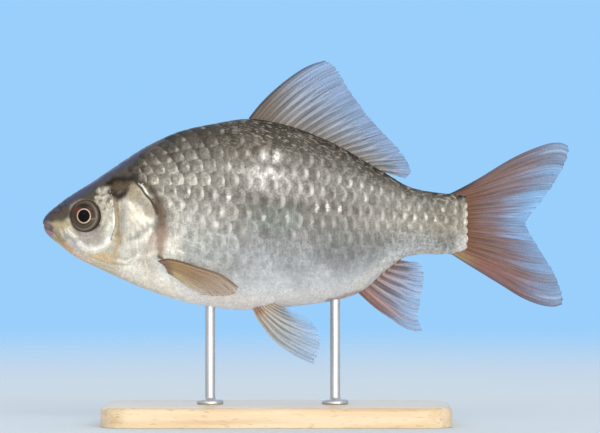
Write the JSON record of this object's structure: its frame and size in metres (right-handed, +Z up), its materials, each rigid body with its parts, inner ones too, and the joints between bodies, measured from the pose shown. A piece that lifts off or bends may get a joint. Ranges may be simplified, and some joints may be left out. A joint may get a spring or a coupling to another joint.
{
  "type": "crucian carp",
  "caption": "Life-size still model of a deep-bodied pond fish with a forked tail, held level on a flat base by short rods.",
  "frame": {"origin": "underside of the base, below the middle of the whole model", "axes": "+X from snout to tail, +Z up, +Y to the fish's right side"},
  "size_m": [0.1574, 0.054, 0.1091],
  "materials": {
    "back_skin": "wet skin under fine scales, dark olive-grey on the back and silver below",
    "head_skin": "smooth wet skin, brown-grey above and silver on the cheek",
    "gill_cover": "smooth silvery bone under thin skin",
    "fin_membrane": "thin grey-lilac membrane over fine rays",
    "tail_fin": "reddish-brown membrane that fades to pale blue at the edge",
    "eye": "polished eye, red-brown iris with a bright ring",
    "stand_board": "satin beech board",
    "stand_steel": "brushed steel rod"
  },
  "bodies": {
    "root": {"head": "head_skin", "lower_jaw": "head_skin", "gill_cover_left": "gill_cover", "gill_cover_right": "gill_cover", "trunk": "back_skin", "tail_stem": "back_skin", "eye_left": "eye", "eye_right": "eye", "dorsal_fin": "fin_membrane", "anal_fin": "fin_membrane", "pelvic_fin_left": "fin_membrane", "pelvic_fin_right": "fin_membrane", "pectoral_fin_left": "fin_membrane", "pectoral_fin_right": "fin_membrane", "tail_fin_upper": "tail_fin", "tail_fin_lower": "tail_fin", "stand_base": "stand_board", "stand_rod_front": "stand_steel", "stand_rod_rear": "stand_steel"}
  },
  "joints": []
}
